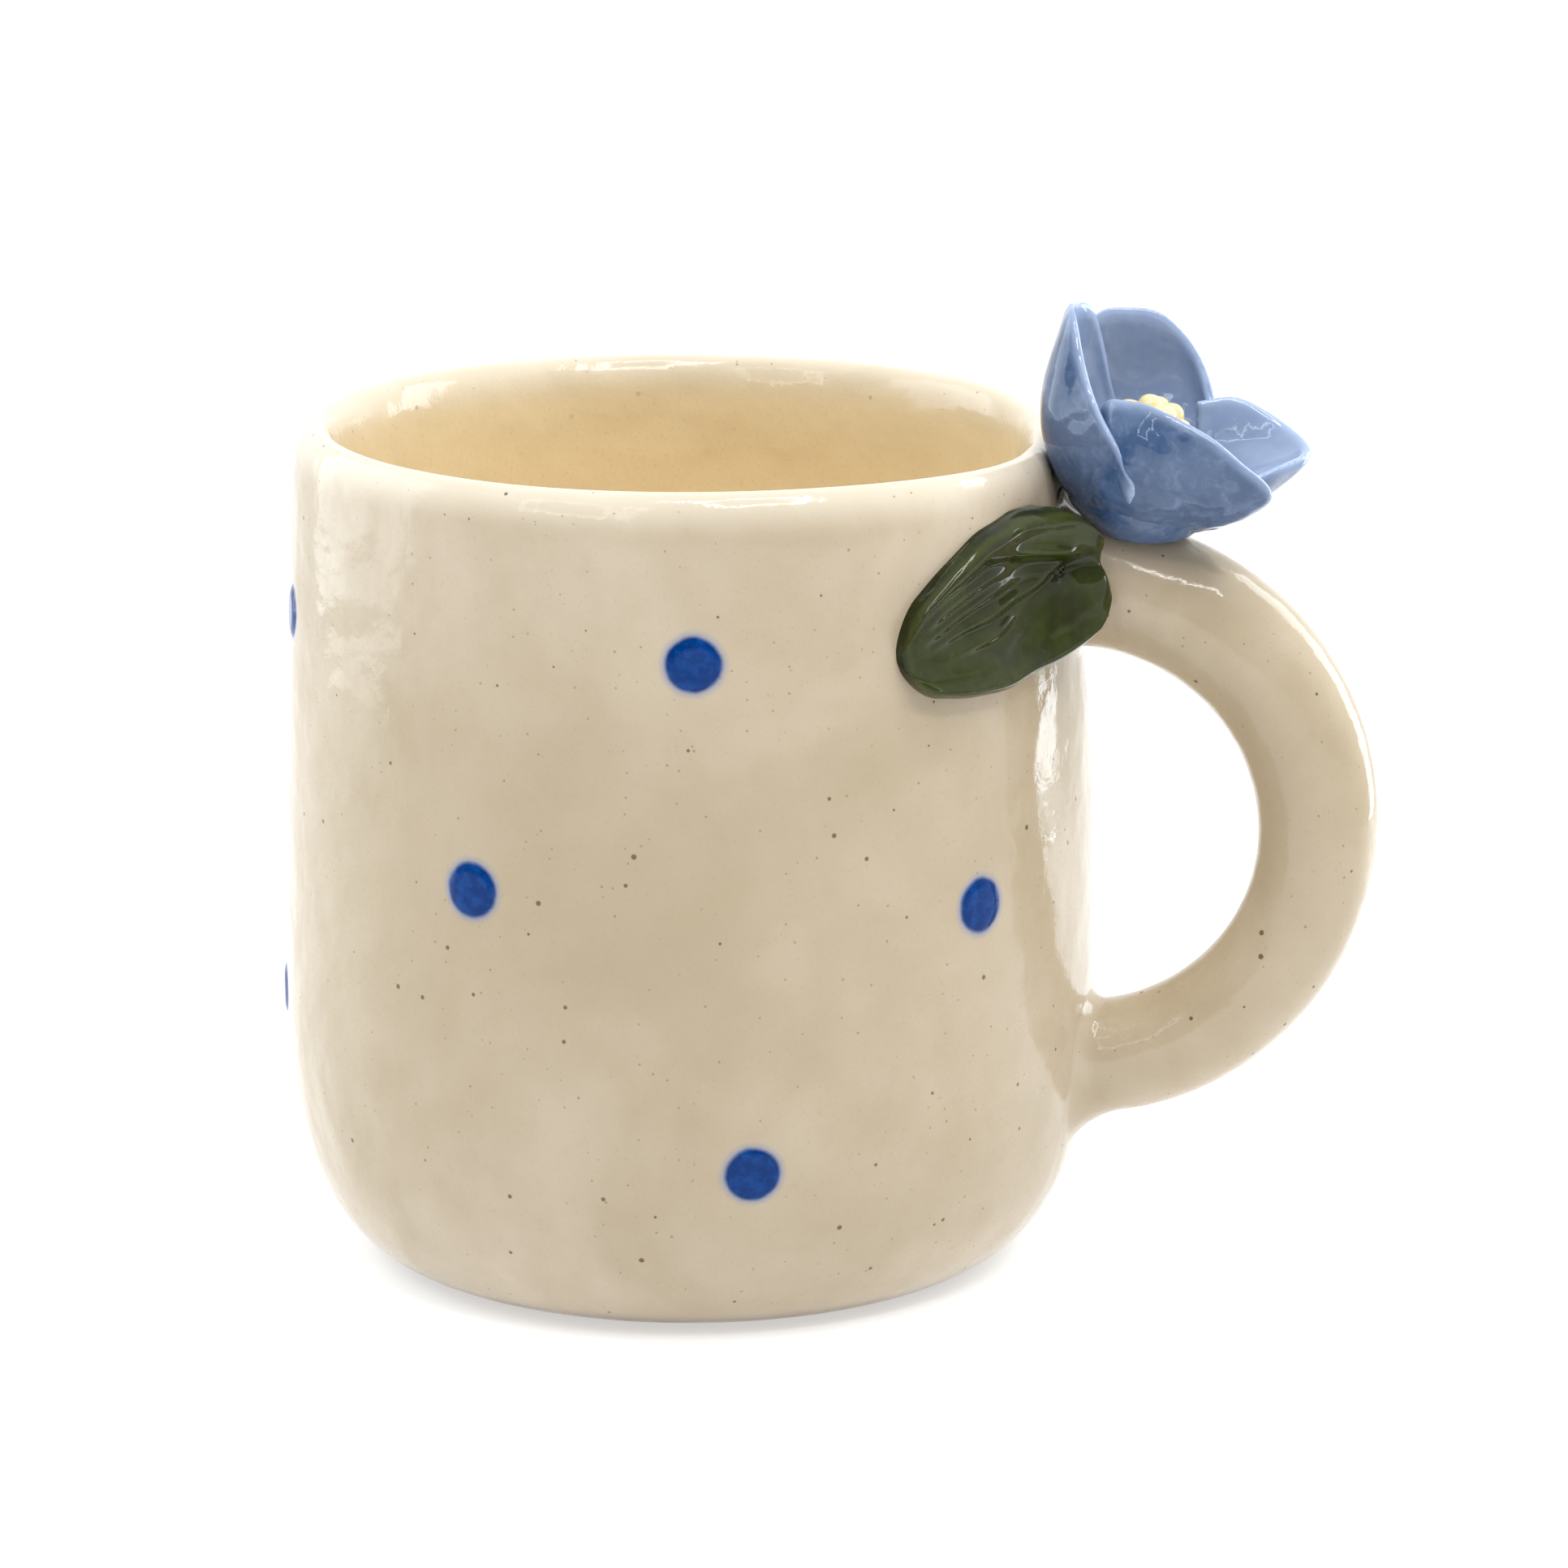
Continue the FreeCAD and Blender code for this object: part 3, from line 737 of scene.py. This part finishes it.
def leaf(name, node, side, seed, material):
    """Pressed leaf laid over the wall; its root climbs onto the side of the handle."""
    u = np.linspace(0, 1, LEAF_STEPS_LONG)[:, None]
    v = np.sin(np.linspace(-math.pi / 2, math.pi / 2, LEAF_STEPS_WIDE))[None, :]
    run = LEAF_TIP_ARC - LEAF_ROOT_ARC
    fall = LEAF_TIP_Z - LEAF_ROOT_Z
    length = math.hypot(run, fall)
    to_end = np.clip(np.minimum(u / LEAF_ROOT_ROUND, (1 - u) / LEAF_TIP_ROUND), 0, 1)
    closing = quarter_round(to_end, 1)
    across = np.where(v > 0, leaf_side(u, *LEAF_ABOVE), leaf_side(u, *LEAF_BELOW)) * v * closing
    across = across * (1 + LEAF_WAVER * ripple(u * 9, 0, seed + 4))
    arc = LEAF_ROOT_ARC + run * u - fall / length * across
    z = LEAF_ROOT_Z + fall * u + LEAF_BOW * 4 * u * (1 - u) + run / length * across
    lift = LEAF_ROOT_LIFT * (1 - smooth_step((arc - LEAF_ROOT_ARC) / LEAF_LIFT_ARC))
    grooves = leaf_grooves(u, v, seed)
    relief = leaf_relief(u, v) + grooves + LEAF_GRAIN * ripple(u * 6, v * 3, seed)
    to_rim = np.minimum((1 - np.abs(v)) * LEAF_EDGE_WIDTH * closing, to_end * LEAF_EDGE_LENGTH)
    rounding = quarter_round(to_rim, LEAF_EDGE_RADIUS)
    face = on_wall(-arc, z, lift + (LEAF_THICKNESS + relief) * rounding - LEAF_FACE_SINK)
    back = on_wall(-arc, z, np.maximum(lift * rounding, 0) - LEAF_BACK_SINK)
    points = np.vstack([face.reshape(-1, 3), back.reshape(-1, 3)]) * np.array([1, side, 1])
    faces = grid_faces(LEAF_STEPS_LONG, LEAF_STEPS_WIDE, flip=True)
    faces += grid_faces(LEAF_STEPS_LONG, LEAF_STEPS_WIDE, start=LEAF_STEPS_LONG * LEAF_STEPS_WIDE)
    faces += edge_strip(LEAF_STEPS_LONG, LEAF_STEPS_WIDE)
    edge = bell(rounding - 0.85, 0.2)
    # Glaze pooling and painted shade: the hollow near the root and the grooves are darkened
    pooling_and_shade = mound(u, v, LEAF_HOLLOW, LEAF_POOL_AND_SHADE_SIZE) + np.clip(-grooves * 1.1, 0, 1)
    attributes = {"edge": [edge, edge], "hollow": [pooling_and_shade, pooling_and_shade]}
    piece = make_piece(name, points, faces, material, attributes)
    weld(piece)
    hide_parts(node)
    return piece


# ---------------------------------------------------------------- materials

def srgb(red, green, blue):
    """Linear colour with alpha from 0-255 display values."""
    def linear(c):
        c = c / 255
        return c / 12.92 if c <= 0.04045 else ((c + 0.055) / 1.055) ** 2.4
    return (linear(red), linear(green), linear(blue), 1.0)


CREAM_PALE = srgb(196, 182, 161)
CREAM_DULL = srgb(181, 166, 142)
CREAM_DRIFT = srgb(172, 156, 126)
CREAM_MID_DARK = srgb(164, 147, 116)
HONEY = srgb(236, 215, 170)
SAND = srgb(150, 132, 100)
# Painted highlight along the lip
LIP_HIGHLIGHT = srgb(232, 224, 206)
IRON = srgb(84, 68, 44)
IRON_FAINT = srgb(96, 84, 60)
HALO = srgb(112, 132, 172)
COBALT_DEEP = srgb(1, 48, 110)
COBALT_THIN = srgb(13, 64, 132)
FOOT_CLAY_AND_SHADOW = srgb(112, 92, 66)
CREAM_SPECULAR = 0.36
COBALT_SPECULAR = 0.14
CREAM_BUMP = 0.45

# Coloured glazes: tones from thin to pooled, how strongly edges and hollows show them, and gloss
POOLED_GLAZES = {
    "blue_glaze": {
        "thin": srgb(172, 190, 222), "middle": srgb(83, 105, 139), "deep": srgb(56, 80, 117),
        "edge_share": 0.6, "hollow_share": 0.3, "roughness": 0.045, "bump": 0.25, "specular": 0.5},
    "yellow_glaze": {
        "thin": srgb(250, 244, 222), "middle": srgb(236, 222, 174), "deep": srgb(216, 192, 126),
        "edge_share": 0.3, "hollow_share": 0.2, "roughness": 0.12, "bump": 0.2, "specular": 0.5},
    "green_glaze": {
        "thin": srgb(84, 92, 40), "middle": srgb(40, 47, 6), "deep": srgb(17, 21, 3),
        "edge_share": 0.3, "hollow_share": 0.7, "roughness": 0.05, "bump": 0.12, "specular": 0.24},
}


class Glaze:
    """A node material: makes nodes, and links sockets or sets plain values."""

    def __init__(self, name):
        self.material = bpy.data.materials.new(name)
        self.material.use_nodes = True
        self.tree = self.material.node_tree
        self.shader = self.tree.nodes["Principled BSDF"]
        metres = self.add("ShaderNodeTexCoord").outputs["Object"]
        scaled = self.add("ShaderNodeVectorMath", (metres,), operation="SCALE")
        scaled.inputs["Scale"].default_value = 1 / MM
        self.place = scaled.outputs[0]
        self.height = self.add("ShaderNodeSeparateXYZ", (self.place,)).outputs["Z"]

    def add(self, kind, inputs=(), **settings):
        node = self.tree.nodes.new(kind)
        for key, value in settings.items():
            setattr(node, key, value)
        for socket, value in zip(node.inputs, inputs):
            self.put(socket, value)
        return node

    def put(self, socket, value):
        if isinstance(value, bpy.types.NodeSocket):
            self.tree.links.new(value, socket)
        else:
            socket.default_value = value

    def sum(self, a, b):
        return self.add("ShaderNodeMath", (a, b), operation="ADD").outputs[0]

    def product(self, a, b):
        return self.add("ShaderNodeMath", (a, b), operation="MULTIPLY").outputs[0]

    def noise(self, scale, detail, rough=0.5, warp=0.0):
        """Noise of so many waves per millimetre."""
        node = self.add("ShaderNodeTexNoise")
        self.put(node.inputs["Vector"], self.place)
        for key, value in (("Scale", scale), ("Detail", detail), ("Roughness", rough), ("Distortion", warp)):
            node.inputs[key].default_value = value
        return node.outputs["Fac"]

    def ramp(self, value, low, high, to_low=0.0, to_high=1.0):
        node = self.add("ShaderNodeMapRange", interpolation_type="SMOOTHSTEP")
        for socket, item in zip(node.inputs, (value, low, high, to_low, to_high)):
            self.put(socket, item)
        return node.outputs[0]

    def mix(self, share, a, b):
        node = self.add("ShaderNodeMix", data_type="RGBA")
        self.put(node.inputs[0], share)
        self.put(node.inputs[6], a)
        self.put(node.inputs[7], b)
        return node.outputs[2]

    def attribute(self, key):
        return self.add("ShaderNodeAttribute", attribute_name=key).outputs["Fac"]

    def finish(self, colour, roughness, height, depth, specular):
        self.put(self.shader.inputs["Base Color"], colour)
        self.put(self.shader.inputs["Roughness"], roughness)
        self.shader.inputs["Specular IOR Level"].default_value = specular
        bump = self.add("ShaderNodeBump")
        bump.inputs["Distance"].default_value = depth * MM
        bump.inputs["Strength"].default_value = 1.0
        self.put(bump.inputs["Height"], height)
        self.put(self.shader.inputs["Normal"], bump.outputs["Normal"])
        return self.material


def dot_distance(glaze):
    """Distance in millimetres to the nearest slip dot's centre, with a wavering edge."""
    nearest = None
    for angle, z in DOT_PLACES:
        centre = tuple(dot_centre(angle, z, 0.0)[0])
        node = glaze.add("ShaderNodeVectorMath", (glaze.place, centre), operation="DISTANCE")
        away = node.outputs["Value"]
        if nearest is None:
            nearest = away
        else:
            nearest = glaze.add("ShaderNodeMath", (nearest, away), operation="MINIMUM").outputs[0]
    waver = glaze.ramp(glaze.noise(scale=0.5, detail=2.0), 0.3, 0.7, to_low=-0.06, to_high=0.06)
    return glaze.sum(nearest, waver)


def specks(glaze, density, size):
    """Round iron specks, 1 on a speck: seeds of a cell pattern that lie close to the surface."""
    node = glaze.add("ShaderNodeTexVoronoi")
    glaze.put(node.inputs["Vector"], glaze.place)
    node.inputs["Scale"].default_value = density
    away = glaze.add("ShaderNodeMath", (node.outputs["Distance"], density), operation="DIVIDE").outputs[0]
    chance = glaze.add("ShaderNodeSeparateColor", (node.outputs["Color"],)).outputs[0]
    radius = glaze.product(chance, size)
    gap = glaze.add("ShaderNodeMath", (away, radius), operation="SUBTRACT").outputs[0]
    return glaze.ramp(gap, -0.06, 0.06, to_low=1.0, to_high=0.0)


def cream_clay(glaze, inside):
    """Clouded cream, darker at mid height, honey inside, with a painted highlight that turns it pale at the
    lip.
    """
    clouds = glaze.ramp(glaze.noise(scale=0.035, detail=3.0, rough=0.6, warp=0.4), 0.35, 0.7)
    colour = glaze.mix(clouds, CREAM_PALE, CREAM_DULL)
    drift = glaze.ramp(glaze.noise(scale=0.11, detail=4.0, rough=0.6), 0.3, 0.75)
    colour = glaze.mix(glaze.product(drift, 0.35), colour, CREAM_DRIFT)
    # Darker at mid height
    above_foot = glaze.ramp(glaze.height, 8.0, 45.0, to_low=0.0, to_high=0.4)
    below_rim = glaze.ramp(glaze.height, 58.0, 86.0, to_low=1.0, to_high=0.0)
    colour = glaze.mix(glaze.product(above_foot, below_rim), colour, CREAM_MID_DARK)
    colour = glaze.mix(glaze.product(inside, 0.9), colour, HONEY)
    sand = glaze.ramp(glaze.noise(scale=2.6, detail=3.0, rough=0.7), 0.56, 0.74, to_low=0.0, to_high=0.22)
    colour = glaze.mix(sand, colour, SAND)
    # Painted highlight: the colour turns paler towards the lip
    lip = glaze.ramp(glaze.height, CUP_HEIGHT - 5.0, CUP_HEIGHT - 0.8, to_low=0.0, to_high=0.5)
    return glaze.mix(lip, colour, LIP_HIGHLIGHT)


def iron_specks(glaze, inside, colour):
    """Coarse and fine specks, which show less through the glaze inside."""
    clear = glaze.ramp(inside, 0.2, 0.8, to_low=0.85, to_high=0.15)
    coarse = specks(glaze, density=0.3, size=0.3)
    colour = glaze.mix(glaze.product(coarse, clear), colour, IRON)
    fine = specks(glaze, density=0.75, size=0.14)
    return glaze.mix(glaze.product(fine, glaze.product(clear, 0.65)), colour, IRON_FAINT)


def cobalt_dots(glaze, colour):
    """Brushed cobalt on each dot, bleeding into the glaze round it."""
    away = dot_distance(glaze)
    halo = glaze.ramp(away, DOT_RADIUS, DOT_RADIUS + 0.9, to_low=0.55, to_high=0.0)
    colour = glaze.mix(halo, colour, HALO)
    core = glaze.ramp(away, DOT_RADIUS - 0.3, DOT_RADIUS + 0.3, to_low=1.0, to_high=0.0)
    brushed = glaze.ramp(glaze.noise(scale=0.9, detail=3.0, rough=0.6), 0.38, 0.68)
    return glaze.mix(core, colour, glaze.mix(brushed, COBALT_DEEP, COBALT_THIN))


def dotted_cream(name, specular):
    """Clear gloss over cream clay, with cobalt dots, iron specks and a bare foot, darkened just above it by
    browned clay and painted contact shadow.
    """
    glaze = Glaze(name)
    inside = glaze.attribute("inside")
    colour = cream_clay(glaze, inside)
    colour = iron_specks(glaze, inside, colour)
    colour = cobalt_dots(glaze, colour)
    # Browned clay and painted contact shadow darken the wall just above the foot
    foot_clay_and_shadow = glaze.ramp(glaze.height, 0.5, 2.6, to_low=0.8, to_high=0.0)
    colour = glaze.mix(foot_clay_and_shadow, colour, FOOT_CLAY_AND_SHADOW)
    bare = glaze.ramp(glaze.height, 0.15, 0.5, to_low=1.0, to_high=0.0)
    gloss = glaze.ramp(glaze.noise(scale=0.09, detail=3.0), 0.3, 0.7, to_low=0.06, to_high=0.13)
    roughness = glaze.sum(gloss, glaze.product(bare, 0.6))
    peel = glaze.product(glaze.noise(scale=0.8, detail=3.0, rough=0.6), 0.09)
    height = glaze.sum(glaze.noise(scale=0.14, detail=2.0, rough=0.4), peel)
    return glaze.finish(colour, roughness, height, CREAM_BUMP, specular)


def pooled(name, thin, middle, deep, edge_share, hollow_share, roughness, bump, specular):
    """Coloured gloss that breaks light over edges and darkens in hollows, partly glaze pooling and partly
    painted shade, with painted light on the petals' inner faces.
    """
    glaze = Glaze(name)
    clouds = glaze.ramp(glaze.noise(scale=0.16, detail=3.0, rough=0.6, warp=0.8), 0.3, 0.72)
    colour = glaze.mix(clouds, middle, deep)
    streaks = glaze.noise(scale=0.55, detail=4.0, rough=0.65, warp=1.2)
    colour = glaze.mix(glaze.ramp(streaks, 0.45, 0.8, to_low=0.0, to_high=0.16), colour, thin)
    # Glaze pooling and painted shade: deep tone in the hollows
    colour = glaze.mix(glaze.product(glaze.attribute("hollow"), hollow_share), colour, deep)
    edge = glaze.add("ShaderNodeMath", (glaze.attribute("edge"), 1.6), operation="POWER").outputs[0]
    colour = glaze.mix(glaze.product(edge, edge_share), colour, thin)
    # Painted light: the petals' inner faces turn paler towards the rim
    colour = glaze.mix(glaze.product(glaze.attribute("inner"), 0.6), colour, thin)
    gloss = glaze.noise(scale=0.4, detail=2.0)
    rough = glaze.ramp(gloss, 0.3, 0.7, to_low=roughness, to_high=roughness * 1.8)
    grain = glaze.product(glaze.noise(scale=1.8, detail=3.0), 0.04)
    height = glaze.sum(glaze.noise(scale=0.3, detail=1.0), grain)
    return glaze.finish(colour, rough, height, bump, specular)


# ---------------------------------------------------------------- studio

def tent_sky():
    """White all round and above, dimmer low down on the side the camera stands."""
    world = bpy.data.worlds.new("tent")
    bpy.context.scene.world = world
    world.use_nodes = True
    tree = world.node_tree
    direction = tree.nodes.new("ShaderNodeTexCoord").outputs["Generated"]
    parts = tree.nodes.new("ShaderNodeSeparateXYZ")
    tree.links.new(direction, parts.inputs[0])
    lean = tree.nodes.new("ShaderNodeMath")
    lean.operation = "MULTIPLY_ADD"
    tree.links.new(parts.outputs["Z"], lean.inputs[0])
    lean.inputs[1].default_value = TENT_LEAN
    tree.links.new(parts.outputs["Y"], lean.inputs[2])
    level = tree.nodes.new("ShaderNodeMapRange")
    level.interpolation_type = "SMOOTHSTEP"
    tree.links.new(lean.outputs[0], level.inputs["Value"])
    level.inputs["From Min"].default_value, level.inputs["From Max"].default_value = TENT_FADE
    level.inputs["To Min"].default_value = TENT_FRONT
    level.inputs["To Max"].default_value = TENT_BACK
    background = tree.nodes["Background"]
    background.inputs["Color"].default_value = (*WHITE, 1)
    tree.links.new(level.outputs[0], background.inputs["Strength"])


def paper_floor():
    """Pale paper with a slight glow of its own, which keeps the shadow at the foot faint."""
    corners = [(-1, -1), (1, -1), (1, 1), (-1, 1)]
    mesh = bpy.data.meshes.new("floor")
    mesh.from_pydata([(x * PAPER_REACH, y * PAPER_REACH, 0) for x, y in corners], [], [[0, 1, 2, 3]])
    paper = bpy.data.materials.new("paper")
    paper.use_nodes = True
    surface = paper.node_tree.nodes["Principled BSDF"].inputs
    surface["Base Color"].default_value = (PAPER_TONE, PAPER_TONE, PAPER_TONE, 1)
    surface["Roughness"].default_value = PAPER_ROUGHNESS
    surface["Emission Color"].default_value = (*WHITE, 1)
    surface["Emission Strength"].default_value = PAPER_GLOW
    mesh.materials.append(paper)
    floor = bpy.data.objects.new("floor", mesh)
    bpy.context.scene.collection.objects.link(floor)


def soft_light(name, place, size, power, colour, shift=(0, 0)):
    """Rectangular light that faces the mug, shifted sideways and up in its own plane."""
    data = bpy.data.lights.new(name, "AREA")
    data.shape = "RECTANGLE"
    data.size, data.size_y = size
    data.energy = power
    data.color = colour
    light = bpy.data.objects.new(name, data)
    light.rotation_euler = (LAMP_AIM - Vector(place)).to_track_quat("-Z", "Y").to_euler()
    light.location = Vector(place) + light.rotation_euler.to_matrix() @ Vector((*shift, 0))
    bpy.context.scene.collection.objects.link(light)


def light_frame(name, place, side, width, power):
    """Four long lights in a square, which show as loops and thin lines in the gloss."""
    half = (side - width) / 2
    for sign in (-1, 1):
        soft_light(f"{name}_across_{sign}", place, (side, width), power / 4, WHITE, (0, sign * half))
        soft_light(f"{name}_along_{sign}", place, (width, side), power / 4, WHITE, (sign * half, 0))


def studio():
    tent_sky()
    paper_floor()
    for name, strip in STRIPS.items():
        soft_light(name, colour=DAYLIGHT, **strip)
    for name, tubes in TUBE_FRAMES.items():
        light_frame(name, **tubes)


def camera():
    back = np.array([
        math.sin(CAMERA_AZIMUTH) * math.cos(CAMERA_ELEVATION),
        -math.cos(CAMERA_AZIMUTH) * math.cos(CAMERA_ELEVATION),
        math.sin(CAMERA_ELEVATION),
    ])
    right = np.array([math.cos(CAMERA_AZIMUTH), math.sin(CAMERA_AZIMUTH), 0])
    up = np.cross(right, -back)
    aim = -back + right * AIM_RIGHT + up * AIM_UP
    data = bpy.data.cameras.new("camera")
    data.lens = CAMERA_LENS
    data.sensor_width = CAMERA_SENSOR
    data.clip_start = CAMERA_NEAR
    view = bpy.data.objects.new("camera", data)
    view.location = (CAMERA_TARGET + back * CAMERA_DISTANCE) * MM
    view.rotation_mode = "QUATERNION"
    view.rotation_quaternion = Vector(aim).to_track_quat("-Z", "Y")
    bpy.context.scene.collection.objects.link(view)
    bpy.context.scene.camera = view


# ---------------------------------------------------------------- the mug

cream = dotted_cream("cream_glaze", CREAM_SPECULAR)
cobalt = dotted_cream("cobalt_slip", COBALT_SPECULAR)
blue, yellow, green = [pooled(name, **look) for name, look in POOLED_GLAZES.items()]

made = [
    (cup_body(cream), "cream_glaze"),
    (handle(cream), "cream_glaze"),
    (slip_dots(cobalt), "cobalt_slip"),
    (flower_seat(blue), "blue_glaze"),
    (flower_centre(yellow), "yellow_glaze"),
    (leaf("leaf_front_clay", "leaf_front", 1, 3, green), "green_glaze"),
    (leaf("leaf_back_clay", "leaf_back", -1, 8, green), "green_glaze"),
]
for number, petal_name in enumerate(PETAL_RIMS):
    made.append((petal(petal_name, 20 + 10 * number, blue), "blue_glaze"))

for piece, slot in made:
    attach(piece, "root")

studio()
camera()
bpy.context.scene.view_settings.view_transform = "Standard"
